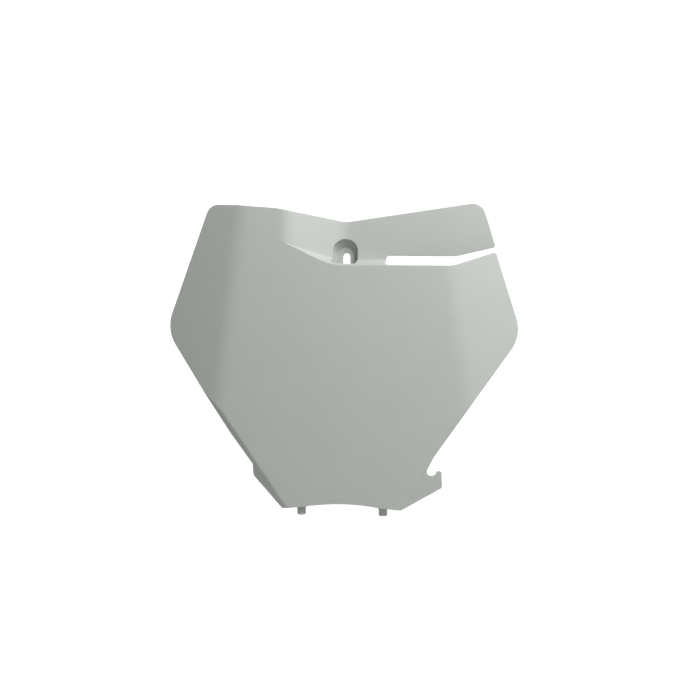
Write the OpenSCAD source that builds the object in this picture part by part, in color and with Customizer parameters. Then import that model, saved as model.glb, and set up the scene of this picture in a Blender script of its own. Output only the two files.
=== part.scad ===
// Front number board of an off-road motorbike, moulded in one piece.
// The front face looks along -Y and +Z is up. The origin is the middle of the round end of the
// screw slot, on the face that the screw head presses.

/* [Moulding] */
// Wall of the moulding
wall = 2.4; // [2:0.1:3]

/* [Outline seen from the front] */
// Distance of the left edge's widest corner from the middle, before it is rounded
left_widest_x = 131.7; // [127:0.5:136]
// Height of that corner above the foot of the board
left_widest_z = 129.2; // [122:0.5:134]
// Distance of the right edge's widest corner from the middle, before it is rounded
right_widest_x = 129.8; // [126:0.5:134]
// Height of that corner
right_widest_z = 127.2; // [121:0.5:133]
// Radius of the widest corners
widest_r = 26; // [15:1:32]
// Distance of the top left corner from the middle
shoulder_x = 98; // [92:0.5:102]
// Height of the top left corner
shoulder_z = 221.3; // [216:0.5:226]
// Distance of the top right corner from the middle
finger_x = 99.7; // [94:0.5:106]
// Height of the top right corner
finger_z = 223.4; // [217:0.5:228]
// Radius of the two top corners
top_corner_r = 9.5; // [5:0.5:13]
// Height of the dip in the top edge, above the screw
dip_z = 208.5; // [205:0.5:212]
// Half the width between the bottom corners
bottom_half = 43.7; // [42:0.2:45]
// Height of the bottom corners
bottom_z = -0.6; // [-1:0.1:0]
// Half the width of the shallow arch in the bottom edge
arch_half = 25.4; // [20:0.2:26]
// Height of the feet of the arch
arch_foot_z = 1.4; // [0.8:0.1:2.5]
// Rise of the arch above its feet
arch_rise = 2; // [1:0.1:4]

/* [Wings] */
// Angle by which each wing is folded back
wing_angle = 13.5; // [10:0.5:20]
// Distance of a wing's fold from the middle, at the top
wing_fold_x = 73.3; // [70:0.5:76]
// Lean of the fold from upright
wing_lean = 7.2; // [6:0.1:8]
// Radius of the fold, on the front face
wing_fold_r = 55; // [20:1:60]

/* [Lower edges] */
// Distance of the left edge's slight knee from the middle
left_knee_x = 81.6; // [80.6:0.2:82.6]
// Height of that knee
left_knee_z = 53; // [51:0.5:55]
// Distance from the middle to the lower end of the left edge, at its step
step_x = 65.8; // [65:0.2:66.6]
// Height of that step
step_z = 31.8; // [31:0.2:33]
// Distance of the right edge's slight knee from the middle
right_knee_x = 67.1; // [66.6:0.1:67.6]
// Height of that knee
right_knee_z = 38.2; // [37.4:0.2:39]
// Angle by which the lips and the lower flanges are turned back
flange_angle = 38; // [30:1:45]
// Radius of these turns, on the front face
flange_fold_r = 5; // [3.4:0.2:6]
// Distance of their fold from the middle, at its lower end
flange_foot_x = 41.4; // [40.8:0.1:42]
// Height of the lower end of that fold
flange_foot_z = 1.2; // [0.8:0.1:1.6]
// Distance of the fold from the middle, at its upper end
lip_top_x = 123; // [122.4:0.2:123.4]
// Height of the upper end of that fold
lip_top_z = 120; // [119:0.5:121]
// Distance of the left flange's outer corner from the middle
left_flange_x = 65.7; // [65:0.1:65.7]
// Height of that corner
left_flange_z = 22.8; // [21:0.2:24]

/* [Hose hook on the right] */
// Distance of the hook's outer edge from the middle
hook_x = 72.3; // [70.8:0.2:76]
// Height of the hook's top edge
hook_top_z = 28; // [28:0.1:29]
// Height of the hook's lower corner
hook_low_z = 14.9; // [13:0.2:18]
// Radius of the round bottom of the notch
notch_r = 3.2; // [2.6:0.1:3.2]
// Height of the bottom of the notch
notch_floor_z = 24.7; // [24:0.1:24.7]
// Distance of the notch's outer wall from the middle
notch_x = 68.9; // [68.9:0.1:69.4]
// Distance of the notch's inner corner from the middle
notch_in_x = 60.1; // [59.6:0.1:60.3]

/* [Recess] */
// Depth of the recessed band behind the main face
band_depth = 24; // [20:0.5:27]
// Distance left of the middle at which the band starts to go back
band_start_x = 39.2; // [36:0.2:42]
// Distance left of the middle at which the band is level again
band_end_x = 2.6; // [1:0.2:4]
// Radius of the soft folds at both ends of its slope
band_fold_r = 22; // [10:1:24]
// Height of the straight stretch of the ledge's rim
rim_z = 177.7; // [175:0.2:178]
// Distance right of the middle at which the rim turns upwards
rim_turn_x = 2; // [-2:0.5:5]
// Radius of that turn
rim_turn_r = 43; // [30:1:55]
// Angle of the rim's rising stretch
rim_angle = 24.8; // [20:0.2:28]
// Draft of the ledge
ledge_draft = 8.3; // [6:0.1:10]

/* [Screw pocket] */
// Width of the screw slot
slot_w = 5.5; // [5:0.1:6.6]
// Height of the middle of the slot's round end
slot_z = 182.9; // [182:0.2:184]
// Radius of the flat seat round the slot
seat_r = 7.4; // [6.8:0.1:8]
// Radius of the pocket's mouth
mouth_r = 8.9; // [8.4:0.1:9.6]
// Height of the middle of the mouth's round top
mouth_z = 187.4; // [186:0.2:188]
// Depth of the pocket behind the band
pocket_depth = 5; // [3:0.2:7]
// Depth of the bridge that the ledge keeps in front of the pocket
bridge_depth = 6; // [4:0.5:9]
// Length by which the pocket reaches below the rim
skirt_h = 5; // [3:0.5:8]

/* [Cable slot] */
// Distance of its closed end from the middle
cable_end_x = 29.4; // [26:0.2:34]
// Height of the slot's upper edge
cable_top_z = 183.9; // [183.6:0.1:186]
// Distance from the middle at which the slot turns upwards
cable_turn_x = 81; // [76:0.5:86]
// Angle of the slot's lower edge past that turn
cable_low_angle = 18; // [15:0.5:19]
// Angle of the slot's upper edge past that turn
cable_top_angle = 13; // [12:0.5:14]
// Radius of the slot's closed end
cable_end_r = 2.9; // [2:0.1:2.9]

/* [Pegs] */
// Distance of each peg from the middle
peg_x = 30; // [28:0.2:34]
// Radius of a peg
peg_r = 3.2; // [2.6:0.1:3.6]
// Distance of the pegs' axes behind the front face
peg_y = 6.6; // [6.2:0.1:8]
// Height of the pegs' tips below the bottom corners
peg_drop = 5.4; // [4:0.2:8]
// Radius round a peg's tip
peg_tip_r = 1.2; // [0.6:0.1:1.6]
// Height of the shoulder on which the board stands
peg_seat_z = 0.4; // [0:0.1:0.6]
// Height of the top of the boss above that shoulder
boss_top_z = 9; // [7:0.5:14]
// Height of the rib above each peg
rib_z = 26; // [20:1:34]
// Thickness of that rib
rib_w = 1.8; // [1.4:0.1:2.4]

/* [Hidden] */
$fn = 96;

// Reach of the solids that are only cut away or trimmed
reach = 1.5 * left_widest_x;
// Depth of the solid block behind the face from which the wall is shelled
block = 90;
// Height of the tallest point of the block
block_top = 260;
// Turn of an outline's corner for each of its flat facets
facet_turn = 6;
// Number of flats in a fold, in the turn of the ledge's rim and in the shallow arch
fold_flats = 8;
rim_flats = 5;
arch_flats = 10;
// Number of flats round the pocket's top
pocket_flats = 20;
// Length by which one solid runs into or past the next
lead = 0.01;
// Soft radii of the outline's slight corners
soft_r = 20;
// Radii of the outline's small corners
small_r = 2;
tip_r = 1.4;
step_r = 1;
// Width of the shoulder round each peg
boss_rim = 1;

// Slight corners of the top edge, left of the dip
crest = [[-46.5, 218.7], [-76, 220.9]];

seat_y = band_depth + pocket_depth;
right_angle = atan2(finger_z - right_widest_z, finger_x - right_widest_x);
arch_r = (arch_half * arch_half + arch_rise * arch_rise) / (2 * arch_rise);

// Where a line through p at angle a crosses a line through q at angle b
function meet(p, a, q, b) =
    let (t = ((q.x - p.x) * sin(b) - (q.y - p.y) * cos(b)) / (cos(a) * sin(b) - sin(a) * cos(b)))
    p + t * [cos(a), sin(a)];

right_widest = [right_widest_x, right_widest_z];
cable_low = meet([cable_turn_x, rim_z], cable_low_angle, right_widest, right_angle);
cable_top = meet([cable_turn_x, cable_top_z], cable_top_angle, right_widest, right_angle);

// Points of the shallow arch in the bottom edge
function arch_points(count) =
    [for (i = [0 : count])
        let (x = arch_half * (2 * i / count - 1))
        [x, arch_foot_z + arch_rise - arch_r + sqrt(arch_r * arch_r - x * x), 0]];

// Corners of the whole outline with their radii, counter-clockwise from the bottom left
corners = concat(
    [[-bottom_half, bottom_z, small_r]],
    arch_points(arch_flats),
    [[bottom_half, bottom_z, small_r],
     [hook_x, hook_low_z, small_r],
     [hook_x, hook_top_z, tip_r],
     [notch_x, hook_top_z, 0],
     [notch_x, notch_floor_z, notch_r],
     [notch_in_x, notch_floor_z, notch_r],
     [right_knee_x, right_knee_z, soft_r],
     [right_widest_x, right_widest_z, widest_r],
     [cable_low.x, cable_low.y, small_r],
     [cable_turn_x, rim_z, soft_r],
     [cable_end_x, rim_z, cable_end_r],
     [cable_end_x, cable_top_z, cable_end_r],
     [cable_turn_x, cable_top_z, soft_r],
     [cable_top.x, cable_top.y, small_r],
     [finger_x, finger_z, top_corner_r],
     [0, dip_z, soft_r]],
    [for (p = crest) [p.x, p.y, soft_r]],
    [[-shoulder_x, shoulder_z, top_corner_r],
     [-left_widest_x, left_widest_z, widest_r],
     [-left_knee_x, left_knee_z, soft_r],
     [-step_x, step_z, step_r],
     [-step_x, (step_z + left_flange_z) / 2, small_r],
     [-left_flange_x, left_flange_z, small_r]]);

function unit(v) = v / norm(v);

// Points of one rounded corner b between its neighbours a and c
function rounded(a, b, c, r) =
    r == 0 ? [b] :
    let (
        u = unit(a - b),
        v = unit(c - b),
        half = acos(u * v) / 2,
        centre = b + unit(u + v) * r / sin(half),
        from = b + u * r / tan(half) - centre,
        side = sign(u.x * v.y - u.y * v.x),
        turn = 180 - 2 * half,
        steps = max(1, ceil(turn / facet_turn))
    )
    [for (i = [0 : steps])
        let (t = -side * turn * i / steps)
        centre + [from.x * cos(t) - from.y * sin(t), from.x * sin(t) + from.y * cos(t)]];

function flat_point(p) = [p.x, p.y];

outline = [for (i = [0 : len(corners) - 1])
    let (
        n = len(corners),
        b = corners[i],
        a = corners[(i + n - 1) % n],
        c = corners[(i + 1) % n]
    )
    each rounded(flat_point(a), flat_point(b), flat_point(c), b.z)];

// Turns a front view drawing into a solid along Y
module along_y(from_y, to_y) {
    translate([0, to_y, 0])
        rotate([90, 0, 0])
            linear_extrude(to_y - from_y)
                children();
}

// Points of an arc from one angle to another
function arc(centre, radius, from, to, count) =
    [for (i = [0 : count])
        let (a = from + (to - from) * i / count)
        centre + radius * [cos(a), sin(a)]];

// Section of the block behind a face that is folded back once. The fold's corner lies at 0,
// outwards is +X and depth is +Y, and the face is set back by some depth along its normal.
module folded_section(angle, radius, setback) {
    centre = [-radius * tan(angle / 2), radius];
    bend = arc(centre, radius - setback, -90, angle - 90, fold_flats);
    last = bend[fold_flats];
    polygon(concat(
        [[-2 * reach, setback]],
        bend,
        [[block, last.y + (block - last.x) * tan(angle)],
         [block, 2 * block],
         [-2 * reach, 2 * block]]));
}

// Block behind a face folded along a line through foot at a lean to upright
module folded_block(foot, lean, angle, radius, setback) {
    translate([foot.x, 0, foot.y])
        rotate([0, lean, 0])
            linear_extrude(4 * reach, center = true)
                folded_section(angle, radius, setback);
}

// Block behind the main face, its two wings, lips and lower flanges. One fold on each side turns
// both the flange and the lip back.
module face_block(setback) {
    foot = [flange_foot_x, flange_foot_z];
    lean = atan2(lip_top_x - foot.x, lip_top_z - foot.y);
    intersection_for (side = [0, 1]) {
        mirror([side, 0, 0])
            intersection() {
                folded_block([wing_fold_x, shoulder_z], -wing_lean, wing_angle, wing_fold_r, setback);
                folded_block(foot, lean, flange_angle, flange_fold_r, setback);
                translate([-reach, -wall, -block])
                    cube([2 * reach, block, block_top + block]);
            }
    }
}

// Plan of the room in front of the recessed band. A setback moves the band's face back.
module recess_plan(setback) {
    slope = atan2(band_depth, band_start_x - band_end_x);
    run_in = band_fold_r * tan(slope / 2);
    first = [-band_start_x - run_in, band_fold_r];
    last = [-band_end_x + run_in, band_depth - band_fold_r];
    polygon(concat(
        [[first.x, -block]],
        arc(first, band_fold_r - setback, -90, slope - 90, fold_flats),
        arc(last, band_fold_r + setback, slope + 90, 90, fold_flats),
        [[reach, band_depth + setback], [reach, -block]]));
}

// Room above the ledge, whose rim turns upwards to the left. A setback lowers its floor.
module above_ledge(setback) {
    intersection_for (i = [0 : rim_flats]) {
        angle = rim_angle * i / rim_flats;
        translate([rim_turn_x - rim_turn_r * sin(angle), 0, rim_z + rim_turn_r * (1 - cos(angle))])
            rotate([ledge_draft, angle, 0])
                translate([-reach, -block, -setback])
                    cube([2 * reach, 2 * block, reach]);
    }
}

// Room above the middle line of the cable slot, past the slot's closed end
module above_cable_slot() {
    middle_z = (rim_z + cable_top_z) / 2;
    turn = [cable_turn_x, middle_z];
    along_y(-block, block)
        polygon([
            [cable_end_x + cable_end_r, middle_z],
            turn,
            meet(turn, (cable_low_angle + cable_top_angle) / 2, [reach, 0], 90),
            [reach, block_top],
            [cable_end_x + cable_end_r, block_top]]);
}

// Room of the recess. Its floor is the ledge as far as the cable slot, and then the slot itself.
// A setback moves the band's face back and lowers the ledge.
module recess(setback) {
    intersection() {
        linear_extrude(block_top)
            recess_plan(setback);
        union() {
            intersection() {
                above_ledge(setback);
                translate([-reach, -block, 0])
                    cube([reach + cable_end_x + cable_end_r, 2 * block, block_top]);
            }
            above_cable_slot();
        }
    }
}

// Front view of the pocket, open at its foot
module pocket_view(radius, middle_z, foot_z) {
    polygon(concat(
        arc([0, middle_z], radius, 0, 180, pocket_flats),
        [[-radius, foot_z], [radius, foot_z]]));
}

// Room of the pocket with its sloping roof, and of the way through the ledge and the band's slope
// in front of it. A margin thickens it into the pocket's backing.
module pocket(margin, foot_z) {
    hull() {
        along_y(bridge_depth, band_depth)
            pocket_view(mouth_r + margin, mouth_z, foot_z);
        along_y(seat_y + margin - lead, seat_y + margin)
            pocket_view(seat_r + margin, slot_z, foot_z);
    }
}

// One moulded wall: the block behind the front faces less the block behind the back faces
module shell() {
    skirt_z = rim_z - skirt_h;
    difference() {
        face_block(0);
        recess(0);
        pocket(0, skirt_z - 2 * wall);
        difference() {
            face_block(wall);
            recess(wall);
            pocket(wall, skirt_z);
        }
    }
}

module screw_slot() {
    along_y(seat_y - wall / 2, seat_y + 2 * wall) {
        translate([0, slot_z])
            circle(d = slot_w);
        translate([-slot_w / 2, rim_z - 2 * skirt_h])
            square([slot_w, slot_z - rim_z + 2 * skirt_h]);
    }
}

// Peg that stands in a hole of the machine, its boss, and the rib up the back of the panel
module peg() {
    pin_length = peg_drop + peg_seat_z + wall;
    rib_y = peg_y + peg_r - wall / 2;
    translate([peg_x, peg_y, -peg_drop])
        rotate_extrude() {
            square([peg_r - peg_tip_r, pin_length]);
            translate([0, peg_tip_r])
                square([peg_r, pin_length - peg_tip_r]);
            intersection() {
                translate([peg_r - peg_tip_r, peg_tip_r])
                    circle(peg_tip_r);
                square([peg_r, peg_tip_r]);
            }
        }
    translate([peg_x, peg_y, peg_seat_z])
        cylinder(boss_top_z - peg_seat_z, r = peg_r + boss_rim);
    translate([peg_x - peg_r, wall / 2, peg_seat_z])
        cube([2 * peg_r, peg_y - wall / 2, boss_top_z - peg_seat_z]);
    translate([peg_x - rib_w / 2, 0, 0])
        rotate([90, 0, 90])
            linear_extrude(rib_w)
                polygon([
                    [wall / 2, arch_foot_z + wall],
                    [rib_y, boss_top_z - wall],
                    [rib_y, boss_top_z + wall],
                    [wall, rib_z],
                    [wall / 2, rib_z]]);
}

module number_board() {
    color([0.62, 0.64, 0.61])
        translate([0, -seat_y, -slot_z]) {
            difference() {
                intersection() {
                    shell();
                    along_y(-wall, block)
                        polygon(outline);
                }
                screw_slot();
            }
            peg();
            mirror([1, 0, 0])
                peg();
        }
}

number_board();
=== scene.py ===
"""Racing number board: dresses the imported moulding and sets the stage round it.

All lengths are in metres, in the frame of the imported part: -Y out of the front face, +Z up,
the origin in the middle of the screw slot's round end.
"""

import math

import bmesh
import bpy
import numpy as np
from bpy.props import FloatProperty, FloatVectorProperty, IntProperty, PointerProperty
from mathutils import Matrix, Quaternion, Vector
from mathutils.bvhtree import BVHTree


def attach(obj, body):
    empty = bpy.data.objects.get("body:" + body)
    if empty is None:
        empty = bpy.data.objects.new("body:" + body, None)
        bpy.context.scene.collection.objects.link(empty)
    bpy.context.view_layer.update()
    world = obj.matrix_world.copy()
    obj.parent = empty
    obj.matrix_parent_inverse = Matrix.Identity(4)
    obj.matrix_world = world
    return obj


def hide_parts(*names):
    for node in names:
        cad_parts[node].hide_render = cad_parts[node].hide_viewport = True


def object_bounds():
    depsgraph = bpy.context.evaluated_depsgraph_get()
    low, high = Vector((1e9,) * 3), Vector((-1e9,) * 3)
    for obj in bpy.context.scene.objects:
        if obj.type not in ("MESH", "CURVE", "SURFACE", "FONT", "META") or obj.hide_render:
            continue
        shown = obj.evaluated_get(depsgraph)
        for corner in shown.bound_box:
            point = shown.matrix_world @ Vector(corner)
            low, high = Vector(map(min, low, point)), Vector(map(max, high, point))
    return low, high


bl_info = {
    "name": "Racing number board",
    "version": (1, 0, 0),
    "blender": (4, 5, 0),
    "location": "View3D > Sidebar > Number board",
    "description": "Dresses a moulded front number board and sets its studio stage",
    "category": "Object",
}

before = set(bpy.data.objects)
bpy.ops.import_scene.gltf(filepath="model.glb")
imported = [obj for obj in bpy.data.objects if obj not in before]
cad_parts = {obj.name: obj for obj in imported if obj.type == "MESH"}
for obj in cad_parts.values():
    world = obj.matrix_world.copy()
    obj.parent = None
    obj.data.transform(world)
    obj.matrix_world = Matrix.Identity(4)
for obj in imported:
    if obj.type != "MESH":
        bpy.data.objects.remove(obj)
CAD_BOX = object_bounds()

NODE = "number_board"
MM = 0.001


# Settings


class MouldingSettings(bpy.types.PropertyGroup):
    """Edges and finish of the moulding."""

    edge_radius: FloatProperty(
        name="Edge radius",
        description="Radius of the soft edges that the mould leaves",
        default=0.4 * MM,
        min=0.1 * MM,
        max=0.6 * MM,
        precision=5,
        unit="LENGTH",
    )
    edge_steps: IntProperty(
        name="Edge steps",
        description="Strips in each soft edge",
        default=3,
        min=1,
        max=6,
    )
    edge_angle: FloatProperty(
        name="Edge angle",
        description="Least angle between two faces whose edge is softened",
        default=math.radians(24),
        subtype="ANGLE",
    )
    cell: FloatProperty(
        name="Cell",
        description="Size of the cells into which the flat faces are cut before the edges soften",
        default=12 * MM,
        min=4 * MM,
        max=40 * MM,
        unit="LENGTH",
    )
    colour: FloatVectorProperty(
        name="Plastic colour",
        description="Colour of the through-dyed plastic",
        default=(0.44, 0.468, 0.435),
        min=0.0,
        max=1.0,
        subtype="COLOR",
    )
    roughness: FloatProperty(
        name="Roughness",
        description="Mean roughness of the satin face",
        default=0.46,
        min=0.0,
        max=1.0,
        subtype="FACTOR",
    )
    grain_size: FloatProperty(
        name="Grain size",
        description="Size of the fine grain that the mould leaves in the face",
        default=0.5 * MM,
        precision=5,
        unit="LENGTH",
    )
    grain_depth: FloatProperty(
        name="Grain depth",
        description="Depth of that grain",
        default=0.006 * MM,
        precision=6,
        unit="LENGTH",
    )
    ripple_size: FloatProperty(
        name="Ripple size",
        description="Size of the slow ripples that the cooling plastic leaves",
        default=9 * MM,
        precision=5,
        unit="LENGTH",
    )
    ripple_depth: FloatProperty(
        name="Ripple depth",
        description="Depth of these ripples",
        default=0.012 * MM,
        precision=6,
        unit="LENGTH",
    )


class MarkSettings(bpy.types.PropertyGroup):
    """Marks of the mould's ejector pins on the back."""

    radius: FloatProperty(
        name="Pin radius",
        description="Radius of the ejector pins",
        default=3.5 * MM,
        precision=5,
        unit="LENGTH",
    )
    height: FloatProperty(
        name="Witness height",
        description="Height of the thin ring that each pin leaves",
        default=0.12 * MM,
        precision=6,
        unit="LENGTH",
    )
    spacing: FloatProperty(
        name="Spacing",
        description="Distance between neighbouring pins",
        default=48 * MM,
        precision=5,
        unit="LENGTH",
    )


class StageSettings(bpy.types.PropertyGroup):
    """Camera, lamps and floor."""

    camera_turn: FloatProperty(
        name="Camera turn",
        description="Turn of the camera to the right of the front",
        default=math.radians(7.55),
        subtype="ANGLE",
    )
    camera_rise: FloatProperty(
        name="Camera rise",
        description="Rise of the camera above the board",
        default=math.radians(3.21),
        subtype="ANGLE",
    )
    camera_roll: FloatProperty(
        name="Camera roll",
        description="Roll of the camera about its line of sight",
        default=math.radians(0.11),
        subtype="ANGLE",
    )
    camera_distance: FloatProperty(
        name="Camera distance",
        description="Distance of the camera from the point that it looks at",
        default=1.545,
        unit="LENGTH",
    )
    view_width: FloatProperty(
        name="View width",
        description="Width that the picture covers at that distance",
        default=0.493,
        unit="LENGTH",
    )
    look_at: FloatVectorProperty(
        name="Look at",
        description="Point in the middle of the picture",
        default=(-0.0010, -0.029, -0.0596),
        subtype="TRANSLATION",
        precision=4,
    )
    key_turn: FloatProperty(
        name="Key turn",
        description="Turn of the key lamp to the right of the front",
        default=math.radians(46),
        subtype="ANGLE",
    )
    key_rise: FloatProperty(
        name="Key rise",
        description="Rise of the key lamp",
        default=math.radians(47),
        subtype="ANGLE",
    )
    key_power: FloatProperty(
        name="Key power",
        description="Power of the key lamp",
        default=9.6,
        unit="POWER",
    )
    key_size: FloatProperty(
        name="Key size",
        description="Width of the key lamp's soft box",
        default=0.45,
        unit="LENGTH",
    )
    key_distance: FloatProperty(
        name="Key distance",
        description="Distance of the key lamp from the board",
        default=0.82,
        unit="LENGTH",
    )
    back_turn: FloatProperty(
        name="Back turn",
        description="Turn of the lamp behind the board to the right of the front",
        default=math.radians(205),
        subtype="ANGLE",
    )
    back_rise: FloatProperty(
        name="Back rise",
        description="Rise of that lamp",
        default=math.radians(22),
        subtype="ANGLE",
    )
    back_power: FloatProperty(
        name="Back power",
        description="Power of that lamp",
        default=4.5,
        unit="POWER",
    )
    back_size: FloatProperty(
        name="Back size",
        description="Width of that lamp's soft box",
        default=0.8,
        unit="LENGTH",
    )
    back_distance: FloatProperty(
        name="Back distance",
        description="Distance of that lamp from the board",
        default=1.1,
        unit="LENGTH",
    )
    room_light: FloatProperty(
        name="Room light",
        description="Strength of the light that comes from all round",
        default=0.07,
    )
    floor_drop: FloatProperty(
        name="Floor drop",
        description="Distance of the floor below the pegs",
        default=0.22,
        unit="LENGTH",
    )
    floor_colour: FloatVectorProperty(
        name="Floor colour",
        description="Colour of the floor and the backdrop",
        default=(0.9, 0.9, 0.9),
        min=0.0,
        max=1.0,
        subtype="COLOR",
    )


# Objects and nodes


def add_object(name, data):
    """An object that holds a mesh, a lamp or a camera, put into the scene."""
    thing = bpy.data.objects.new(name, data)
    bpy.context.scene.collection.objects.link(thing)
    return thing


def add_node(tree, kind, place, **values):
    """A node of some kind at a place in the tree, with its properties set."""
    node = tree.nodes.new(kind)
    node.location = place
    for name, value in values.items():
        setattr(node, name, value)
    return node


def link(tree, source, target):
    """Joins an output socket to an input socket."""
    tree.links.new(source, target)


def maths(tree, operation, first, second, place):
    """A Math node whose two inputs are sockets or plain numbers."""
    node = add_node(tree, "ShaderNodeMath", place, operation=operation)
    for socket, value in zip(node.inputs, (first, second)):
        if isinstance(value, (int, float)):
            socket.default_value = value
        else:
            link(tree, value, socket)
    return node.outputs[0]


def output_only(owner, kind, place):
    """The node tree of a new material or world, and its output, the only node left in it."""
    owner.use_nodes = True
    tree = owner.node_tree
    tree.nodes.clear()
    return tree, add_node(tree, kind, place)


def new_group(name, inputs, outputs):
    """An empty node group whose inputs and outputs have the given names and kinds."""
    tree = bpy.data.node_groups.new(name, "ShaderNodeTree")
    for way, sockets in (("INPUT", inputs), ("OUTPUT", outputs)):
        for label, kind in sockets:
            tree.interface.new_socket(label, in_out=way, socket_type=kind)
    start = add_node(tree, "NodeGroupInput", (-900, 0))
    end = add_node(tree, "NodeGroupOutput", (900, 0))
    return tree, start, end


# Finish of the plastic

PLASTIC = "moulded_plastic"
PLASTIC_IOR = 1.49
RELIEF_DETAIL = 2.0  # finer and finer layers in the noise of the grain and the ripples
MOTTLE_DETAIL = 4.0  # the same in that of the mottle
MOTTLE_RIPPLES = 3.0  # width of a patch of the mottle, in ripples
COLOUR_SPREAD = 0.025  # share by which the mottle darkens and lightens the colour
GLOSS_SPREAD = 0.05  # by which it lowers and raises the roughness


def moulded_face_group():
    """Relief and mottle of a moulded face.

    The relief is the sum of a fine grain and slow ripples, each noise times its own depth.
    The mottle is a noise between 0 and 1 whose patches are a few ripples wide.
    """
    tree, start, end = new_group(
        "Moulded face",
        [
            ("Vector", "NodeSocketVector"),
            ("Grain size", "NodeSocketFloat"),
            ("Grain depth", "NodeSocketFloat"),
            ("Ripple size", "NodeSocketFloat"),
            ("Ripple depth", "NodeSocketFloat"),
        ],
        [("Height", "NodeSocketFloat"), ("Mottle", "NodeSocketFloat")],
    )

    def noise(size, detail, x, y):
        """A noise whose patches have a size: its scale is 1 over that size."""
        scale = maths(tree, "DIVIDE", 1.0, size, (x - 250, y))
        node = add_node(tree, "ShaderNodeTexNoise", (x, y), noise_dimensions="3D")
        node.inputs["Detail"].default_value = detail
        link(tree, start.outputs["Vector"], node.inputs["Vector"])
        link(tree, scale, node.inputs["Scale"])
        return node.outputs["Fac"]

    heights = []
    for part, y in (("Grain", 300), ("Ripple", 0)):
        relief = noise(start.outputs[part + " size"], RELIEF_DETAIL, -400, y)
        depth = start.outputs[part + " depth"]
        heights.append(maths(tree, "MULTIPLY", relief, depth, (-150, y)))
    link(tree, maths(tree, "ADD", *heights, (150, 200)), end.inputs["Height"])
    ripple = start.outputs["Ripple size"]
    patch = maths(tree, "MULTIPLY", ripple, MOTTLE_RIPPLES, (-650, -400))
    link(tree, noise(patch, MOTTLE_DETAIL, -150, -400), end.inputs["Mottle"])
    return tree


def plastic_material(settings):
    """Satin moulded plastic, dyed right through."""
    material = bpy.data.materials.new(PLASTIC)
    tree, output = output_only(material, "ShaderNodeOutputMaterial", (900, 0))
    surface = add_node(tree, "ShaderNodeBsdfPrincipled", (600, 0))
    link(tree, surface.outputs["BSDF"], output.inputs["Surface"])
    surface.inputs["IOR"].default_value = PLASTIC_IOR
    where = add_node(tree, "ShaderNodeTexCoord", (-900, 0))
    face = add_node(tree, "ShaderNodeGroup", (-500, 0), node_tree=moulded_face_group())
    link(tree, where.outputs["Object"], face.inputs["Vector"])
    face.inputs["Grain size"].default_value = settings.grain_size
    face.inputs["Grain depth"].default_value = settings.grain_depth
    face.inputs["Ripple size"].default_value = settings.ripple_size
    face.inputs["Ripple depth"].default_value = settings.ripple_depth
    colour = add_node(tree, "ShaderNodeMix", (100, 250), data_type="RGBA")
    link(tree, face.outputs["Mottle"], colour.inputs["Factor"])
    base = np.array(settings.colour)
    colour.inputs["A"].default_value = (*(base * (1 - COLOUR_SPREAD)), 1.0)
    colour.inputs["B"].default_value = (*(base * (1 + COLOUR_SPREAD)), 1.0)
    link(tree, colour.outputs["Result"], surface.inputs["Base Color"])
    gloss = add_node(tree, "ShaderNodeMapRange", (100, -50))
    link(tree, face.outputs["Mottle"], gloss.inputs["Value"])
    gloss.inputs["To Min"].default_value = settings.roughness - GLOSS_SPREAD
    gloss.inputs["To Max"].default_value = settings.roughness + GLOSS_SPREAD
    link(tree, gloss.outputs["Result"], surface.inputs["Roughness"])
    bump = add_node(tree, "ShaderNodeBump", (100, -350))
    bump.inputs["Strength"].default_value = 1.0
    bump.inputs["Distance"].default_value = 1.0
    link(tree, face.outputs["Height"], bump.inputs["Height"])
    link(tree, bump.outputs["Normal"], surface.inputs["Normal"])
    return material


def shared_material(context):
    """The plastic's material, made by whichever piece needs it first."""
    found = bpy.data.materials.get(PLASTIC)
    return found or plastic_material(context.scene.board_moulding)


def add_piece(name, mesh, material):
    """An object at the origin that holds a mesh in one material and rides on the board."""
    piece = add_object(name, mesh)
    mesh.materials.clear()
    mesh.materials.append(material)
    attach(piece, "root")
    return piece


# Moulding

SAME_POINT = 0.002 * MM  # corners nearer to each other than this are one
SAME_PLANE = math.radians(0.4)  # faces whose normals stand less than this apart are one
ON_CUT = 0.5 * MM  # a corner nearer to a cut than this counts as on it
SLIVER = 0.02 * MM  # a triangle of less area than half its square has no sure normal
STRAY_COSINE = 0.15  # of the angle, about 81 degrees, past which a triangle is stray
LEAST_SQUARE = 1e-18  # keeps an edge of no length from dividing by nothing
LEAST_LENGTH = 1e-12  # the same for a normal
EDGE_ROUNDS = 12  # rounds in which the soft edges have to come clear of each other
FIRST_REACH = 0.3 * MM  # how far from a stray point an edge turns crisp in the first round
SHADING_ANGLE = math.radians(35)  # faces that stand further apart aren't shaded as one


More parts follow.
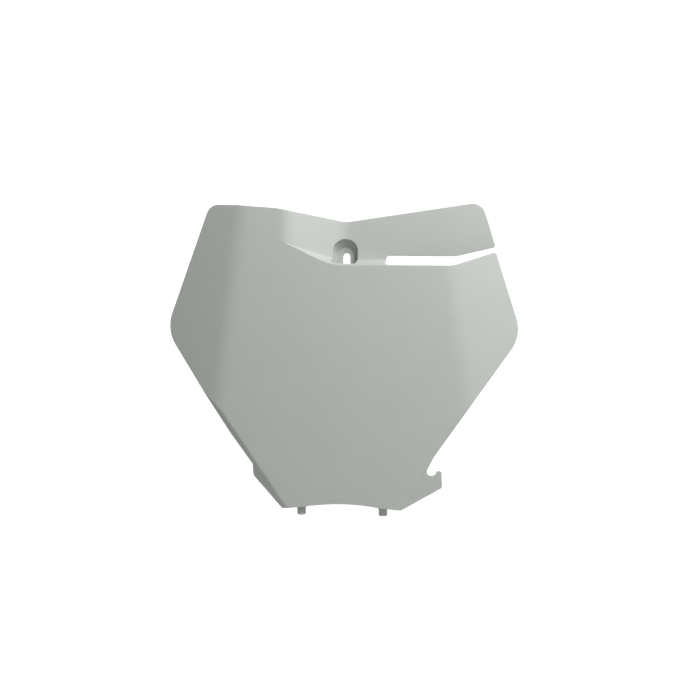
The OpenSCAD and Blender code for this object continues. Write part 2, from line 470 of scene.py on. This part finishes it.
def merged_copy(node, cell):
    """A copy of a node's mesh with its loose triangles joined, and a tree of its faces.

    The flat faces are made whole and then cut by upright and level planes, one cell apart, so
    that none of them spans the board. The tree finds the face of the plain copy that lies
    nearest to a point.
    """
    mesh = node.data.copy()
    mesh.name = node.name + "_merged"
    work = bmesh.new()
    work.from_mesh(mesh)
    bmesh.ops.remove_doubles(work, verts=work.verts, dist=SAME_POINT)
    bmesh.ops.dissolve_limit(
        work,
        angle_limit=SAME_PLANE,
        use_dissolve_boundaries=False,
        verts=work.verts,
        edges=work.edges,
        delimit=set(),
    )
    corners = np.array([vert.co for vert in work.verts])
    low, high = corners.min(axis=0), corners.max(axis=0)
    across, up = 0, 2
    for axis in (across, up):
        facing = np.eye(3)[axis]
        for along in np.arange(low[axis] + cell / 2, high[axis], cell):
            bmesh.ops.bisect_plane(
                work,
                geom=work.verts[:] + work.edges[:] + work.faces[:],
                dist=ON_CUT,
                plane_co=facing * along,
                plane_no=facing,
            )
    tree = BVHTree.FromBMesh(work)
    work.to_mesh(mesh)
    work.free()
    for name in ("custom_normal", "sharp_edge", "sharp_face"):
        if name in mesh.attributes:
            mesh.attributes.remove(mesh.attributes[name])
    mesh.shade_smooth()
    return mesh, tree


def corner_points(mesh):
    """The places of a mesh's vertices, one row each."""
    places = np.empty(len(mesh.vertices) * 3)
    mesh.vertices.foreach_get("co", places)
    return places.reshape(-1, 3)


def edge_angles(mesh):
    """The angle between the two faces at each edge of a closed mesh."""
    work = bmesh.new()
    work.from_mesh(mesh)
    angles = np.array([edge.calc_face_angle(0.0) for edge in work.edges])
    work.free()
    return angles


def stray_points(piece, tree, reach):
    """Points on the triangles that a soft edge has turned over, or pushed off the faces.

    A triangle is stray where its normal stands more than the stray angle from that of the
    nearest plain face, or where it lies further than the reach from it.
    """
    mesh = piece.evaluated_get(bpy.context.evaluated_depsgraph_get()).to_mesh()
    mesh.calc_loop_triangles()
    corners = np.empty(len(mesh.loop_triangles) * 3, dtype=np.int32)
    mesh.loop_triangles.foreach_get("vertices", corners)
    triangles = corner_points(mesh)[corners.reshape(-1, 3)]
    one, two, three = triangles[:, 0], triangles[:, 1], triangles[:, 2]
    normals = np.cross(two - one, three - one)
    size = np.linalg.norm(normals, axis=1)
    real = size > SLIVER**2
    triangles, normals = triangles[real], normals[real] / size[real, None]
    middles = triangles.mean(axis=1)
    near = [tree.find_nearest(Vector(point)) for point in middles]
    facing = np.array([hit[1] for hit in near])
    apart = np.array([hit[3] for hit in near])
    stray = ((facing * normals).sum(axis=1) < STRAY_COSINE) | (apart > reach)
    return np.concatenate([triangles[stray].reshape(-1, 3), middles[stray]])


def distance_to_edges(points, ends):
    """The distance of each edge from the nearest of some points.

    A point's foot on an edge lies at the share t of its length, t = (p - a).(b - a) / |b - a|^2
    kept between 0 and 1.
    """
    start, way = ends[:, 0], ends[:, 1] - ends[:, 0]
    length = np.maximum((way**2).sum(axis=1), LEAST_SQUARE)
    share = np.einsum("pij,ij->pi", points[:, None] - start, way) / length
    foot = start + np.clip(share, 0, 1)[..., None] * way
    return np.linalg.norm(points[:, None] - foot, axis=2).min(axis=0)


def soften_edges(piece, tree, settings):
    """Rounds the piece's sharp edges, except the stretches that have no room for it.

    Each edge over the set angle gets the weight 1. Where the soft edges then run into each other
    and turn a face over, the edges near that face get the weight 0, round after round, until no
    face is turned over. How near they have to be grows by half of the first reach each round.
    The result takes the place of the piece's mesh.
    """
    mesh = piece.data
    ends = np.empty(len(mesh.edges) * 2, dtype=np.int32)
    mesh.edges.foreach_get("vertices", ends)
    ends = corner_points(mesh)[ends.reshape(-1, 2)]
    weights = (edge_angles(mesh) > settings.edge_angle).astype(np.float32)
    chosen = mesh.attributes.new("bevel_weight_edge", "FLOAT", "EDGE")
    bevel = piece.modifiers.new("Soft edges", "BEVEL")
    bevel.width = settings.edge_radius
    bevel.segments = settings.edge_steps
    bevel.limit_method = "WEIGHT"
    bevel.use_clamp_overlap = False
    for turn in range(EDGE_ROUNDS):
        chosen.data.foreach_set("value", weights)
        mesh.update()
        stray = stray_points(piece, tree, settings.edge_radius)
        if not len(stray):
            break
        soft = np.flatnonzero(weights)
        close = distance_to_edges(stray, ends[soft]) < FIRST_REACH * (1 + turn / 2)
        weights[soft[close]] = 0.0
    else:
        raise RuntimeError("the soft edges still turn a face over")
    graph = bpy.context.evaluated_depsgraph_get()
    piece.data = bpy.data.meshes.new_from_object(piece.evaluated_get(graph))
    piece.data.name = mesh.name
    piece.modifiers.clear()


def even_normals(mesh, angle):
    """Shades the flat faces flat, and the folds and the soft edges round.

    The normal of a face's corner is the mean of the normals of the faces that meet there, each
    times its area, over those that stand less than the angle from the face itself.
    """
    count = len(mesh.loops)
    vertex = np.empty(count, dtype=np.int32)
    mesh.loops.foreach_get("vertex_index", vertex)
    sides = np.empty(len(mesh.polygons), dtype=np.int32)
    mesh.polygons.foreach_get("loop_total", sides)
    area = np.empty(len(sides))
    mesh.polygons.foreach_get("area", area)
    flat = np.empty(len(sides) * 3)
    mesh.polygons.foreach_get("normal", flat)
    face = np.repeat(np.arange(len(sides)), sides)
    order = np.argsort(vertex, kind="stable")
    normal = flat.reshape(-1, 3)[face[order]]
    weight = area[face[order]]
    _, start, size = np.unique(vertex[order], return_index=True, return_counts=True)
    first, around = np.repeat(start, size), np.repeat(size, size)
    place = np.arange(count) - first
    total = np.zeros((count, 3))
    for step in range(around.max()):
        other = first + (place + step) % around
        alike = (normal * normal[other]).sum(axis=1) > math.cos(angle)
        share = weight[other] * alike * (step < around)
        total += normal[other] * share[:, None]
    total /= np.maximum(np.linalg.norm(total, axis=1, keepdims=True), LEAST_LENGTH)
    corners = np.empty_like(total)
    corners[order] = total
    mesh.normals_split_custom_set(corners.tolist())


class BOARD_OT_moulding(bpy.types.Operator):
    """Makes the moulding: soft edges and satin plastic on a merged copy of the board"""

    bl_idname = "number_board.moulding"
    bl_label = "Moulding"

    def execute(self, context):
        settings = context.scene.board_moulding
        mesh, tree = merged_copy(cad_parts[NODE], settings.cell)
        piece = add_piece("moulded_board", mesh, shared_material(context))
        soften_edges(piece, tree, settings)
        even_normals(piece.data, SHADING_ANGLE)
        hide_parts(NODE)
        return {"FINISHED"}


# Marks on the back

WALL = 2.4 * MM  # thickness of the board, as in its source
MARKS_MIDDLE = (0.0, -89 * MM)  # across and up, the middle of the three rows of three pins
DISC_SIDES = 40
DISC_FOOT = 1.12  # radius of a disc's foot, in radii of the pin
DISC_STEPS = (0.0, 0.5, 0.8, 0.86, 0.89, 0.92, 1.0)  # of its profile, in radii of the foot
DISC_RISE = (0.25, 0.25, 0.25, 0.6, 1.0, 0.6, -0.4)  # at those steps, in heights of the ring


def pin_marks_mesh(places, back, radius, height):
    """Discs with a thin raised ring, one at each place on the back face.

    A disc is a profile turned once round its own axis: at each step from the middle to the foot
    its radius is the step times that of the foot, and its height above the face is the rise
    there times that of the ring. The foot lies inside the wall, where a flat face closes it.
    """
    steps = np.array(DISC_STEPS) * DISC_FOOT * radius
    rise = np.array(DISC_RISE) * height
    turns = np.linspace(0, 2 * np.pi, DISC_SIDES, endpoint=False)
    ring, turn = np.meshgrid(steps[1:], turns, indexing="ij")
    high = np.repeat(rise[1:, None], DISC_SIDES, axis=1)
    disc = np.stack([ring * np.cos(turn), back + high, ring * np.sin(turn)], axis=-1)
    disc = np.vstack([[0.0, back + rise[0], 0.0], disc.reshape(-1, 3)])
    i = np.arange(DISC_SIDES)
    j = (i + 1) % DISC_SIDES
    fan = np.stack([np.zeros(DISC_SIDES, int), 1 + j, 1 + i], axis=1)
    rows = np.arange(len(steps) - 2)[:, None] * DISC_SIDES + 1
    outer = rows + DISC_SIDES
    quads = np.stack([rows + i, rows + j, outer + j, outer + i], axis=-1).reshape(-1, 4)
    foot = len(disc) - DISC_SIDES + i
    points, faces = [], []
    for k, (px, pz) in enumerate(places):
        points.append(disc + [px, 0.0, pz])
        faces += (fan + k * len(disc)).tolist() + (quads + k * len(disc)).tolist()
        faces.append((foot + k * len(disc)).tolist())
    mesh = bpy.data.meshes.new("pin_marks")
    mesh.from_pydata(np.vstack(points).tolist(), [], faces)
    mesh.shade_smooth()
    return mesh


class BOARD_OT_pin_marks(bpy.types.Operator):
    """Makes the shallow rings that the mould's ejector pins leave on the back"""

    bl_idname = "number_board.pin_marks"
    bl_label = "Pin marks"

    def execute(self, context):
        settings = context.scene.board_marks
        back = CAD_BOX[0].y + WALL
        rows = np.array([-1.0, 0.0, 1.0])
        across, up = np.meshgrid(rows, rows)
        places = MARKS_MIDDLE + settings.spacing * np.stack([across.ravel(), up.ravel()], axis=1)
        mesh = pin_marks_mesh(places, back, settings.radius, settings.height)
        add_piece("pin_marks", mesh, shared_material(context))
        return {"FINISHED"}


# Stage

SWEEP_FRONT = -2.2  # where the floor begins, in front of the board
SWEEP_BACK = 1.4  # where it begins to rise
SWEEP_BEND = 0.8  # radius of that rise
SWEEP_TOP = 3.0  # height of the backdrop above the floor
SWEEP_HALF = 3.0  # half of its width
SWEEP_STEPS = 24  # points along the rise
FILM_WIDTH = 36.0  # in millimetres, as Blender has it
WHITE = (1.0, 1.0, 1.0, 1.0)


def direction(turn, rise):
    """Unit vector from the board to a place seen at a turn to the right and a rise."""
    return Vector(
        (math.sin(turn) * math.cos(rise), -math.cos(turn) * math.cos(rise), math.sin(rise))
    )


def add_lamp(name, turn, rise, distance, size, power, target):
    """A square soft box that looks at a point."""
    lamp = bpy.data.lights.new(name, "AREA")
    lamp.shape = "SQUARE"
    lamp.size = size
    lamp.energy = power
    holder = add_object(name, lamp)
    way = direction(turn, rise)
    holder.location = target + way * distance
    holder.rotation_mode = "QUATERNION"
    holder.rotation_quaternion = (-way).to_track_quat("-Z", "Y")


def seen_factor(tree, place):
    """1 for a ray that the camera, a gloss or a glass sends, and 0 for the light of the room."""
    x, y = place
    path = add_node(tree, "ShaderNodeLightPath", (x, y))
    camera = path.outputs["Is Camera Ray"]
    gloss = path.outputs["Is Glossy Ray"]
    glass = path.outputs["Is Transmission Ray"]
    seen = maths(tree, "MAXIMUM", camera, gloss, (x + 250, y))
    return maths(tree, "MAXIMUM", seen, glass, (x + 450, y))


def make_world(settings):
    """White where it is seen, and soft room light everywhere else."""
    world = bpy.data.worlds.new("studio")
    bpy.context.scene.world = world
    tree, output = output_only(world, "ShaderNodeOutputWorld", (700, 0))
    mix = add_node(tree, "ShaderNodeMixShader", (450, 0))
    link(tree, seen_factor(tree, (-400, 250)), mix.inputs["Fac"])
    unseen, seen = 1, 2
    for side, strength in ((unseen, settings.room_light), (seen, 1.0)):
        light = add_node(tree, "ShaderNodeBackground", (150, 150 - 200 * side))
        light.inputs["Strength"].default_value = strength
        light.inputs["Color"].default_value = WHITE
        link(tree, light.outputs["Background"], mix.inputs[side])
    link(tree, mix.outputs["Shader"], output.inputs["Surface"])


def floor_material(settings):
    """Pale matt paper that is seen as white.

    The white is added to the paper's own light, so a shadow on it doesn't show.
    """
    material = bpy.data.materials.new("stage_paper")
    tree, output = output_only(material, "ShaderNodeOutputMaterial", (900, 0))
    paper = add_node(tree, "ShaderNodeBsdfDiffuse", (300, 100))
    paper.inputs["Color"].default_value = (*settings.floor_colour, 1.0)
    lift = add_node(tree, "ShaderNodeEmission", (300, -100))
    link(tree, seen_factor(tree, (-500, -100)), lift.inputs["Strength"])
    both = add_node(tree, "ShaderNodeAddShader", (600, 0))
    link(tree, paper.outputs["BSDF"], both.inputs[0])
    link(tree, lift.outputs["Emission"], both.inputs[1])
    link(tree, both.outputs["Shader"], output.inputs["Surface"])
    return material


def make_floor(settings):
    """Floor that rises in one soft sweep into the backdrop.

    A profile runs back along the floor, up a quarter circle and on upwards, and is carried
    straight across from left to right.
    """
    ground = CAD_BOX[0].z - settings.floor_drop
    turn = np.linspace(-np.pi / 2, 0, SWEEP_STEPS)
    rise_y = SWEEP_BACK + SWEEP_BEND * np.cos(turn)
    rise_z = SWEEP_BEND + SWEEP_BEND * np.sin(turn)
    y = np.concatenate([[SWEEP_FRONT], rise_y, [SWEEP_BACK + SWEEP_BEND]])
    z = np.concatenate([[0.0], rise_z, [SWEEP_TOP]]) + ground
    left = np.stack([np.full(len(y), -SWEEP_HALF), y, z], axis=1)
    right = left * [-1, 1, 1]
    i = np.arange(len(y) - 1)
    faces = np.stack([i, i + len(y), i + len(y) + 1, i + 1], axis=1)
    mesh = bpy.data.meshes.new("stage_sweep")
    mesh.from_pydata(np.vstack([left, right]).tolist(), [], faces.tolist())
    mesh.shade_smooth()
    mesh.materials.append(floor_material(settings))
    sweep = add_object("stage_sweep", mesh)


def make_camera(settings):
    """Camera at the photograph's place, looking at the middle of the picture."""
    lens = bpy.data.cameras.new("camera")
    lens.sensor_width = FILM_WIDTH
    lens.lens = FILM_WIDTH * settings.camera_distance / settings.view_width
    lens.clip_start, lens.clip_end = 0.05, 20.0
    camera = add_object("camera", lens)
    back = direction(settings.camera_turn, settings.camera_rise)
    camera.location = Vector(settings.look_at) + back * settings.camera_distance
    camera.rotation_mode = "QUATERNION"
    aim = (-back).to_track_quat("-Z", "Y")
    camera.rotation_quaternion = aim @ Quaternion((0, 0, 1), settings.camera_roll)
    bpy.context.scene.camera = camera


class BOARD_OT_stage(bpy.types.Operator):
    """Makes the camera, the soft light, the floor and the backdrop"""

    bl_idname = "number_board.stage"
    bl_label = "Stage"

    def execute(self, context):
        settings = context.scene.board_stage
        context.scene.view_settings.view_transform = "Standard"
        target = Vector(settings.look_at)
        make_camera(settings)
        make_world(settings)
        make_floor(settings)
        for name in ("key", "back"):
            values = [
                getattr(settings, name + "_" + part)
                for part in ("turn", "rise", "distance", "size", "power")
            ]
            add_lamp(name + "_softbox", *values, target)
        return {"FINISHED"}


class BOARD_PT_sidebar(bpy.types.Panel):
    """Lists the board's pieces and its stage, with their settings"""

    bl_label = "Number board"
    bl_idname = "BOARD_PT_sidebar"
    bl_space_type = "VIEW_3D"
    bl_region_type = "UI"
    bl_category = "Number board"

    def draw(self, context):
        layout = self.layout
        for operator, group in (
            (BOARD_OT_moulding, "board_moulding"),
            (BOARD_OT_pin_marks, "board_marks"),
            (BOARD_OT_stage, "board_stage"),
        ):
            box = layout.box()
            box.operator(operator.bl_idname)
            settings = getattr(context.scene, group)
            for name in settings.bl_rna.properties.keys():
                if name not in {"rna_type", "name"}:
                    box.prop(settings, name)


CLASSES = (
    MouldingSettings,
    MarkSettings,
    StageSettings,
    BOARD_OT_moulding,
    BOARD_OT_pin_marks,
    BOARD_OT_stage,
    BOARD_PT_sidebar,
)


def register():
    """Makes the classes known, and gives the scene their settings."""
    for cls in CLASSES:
        bpy.utils.register_class(cls)
    bpy.types.Scene.board_moulding = PointerProperty(type=MouldingSettings)
    bpy.types.Scene.board_marks = PointerProperty(type=MarkSettings)
    bpy.types.Scene.board_stage = PointerProperty(type=StageSettings)


def unregister():
    """Takes the settings and the classes away again."""
    del bpy.types.Scene.board_stage
    del bpy.types.Scene.board_marks
    del bpy.types.Scene.board_moulding
    for cls in reversed(CLASSES):
        bpy.utils.unregister_class(cls)


def main():
    register()
    bpy.ops.number_board.stage()
    bpy.ops.number_board.moulding()
    bpy.ops.number_board.pin_marks()
    bpy.context.view_layer.update()


if __name__ == "__main__":
    main()
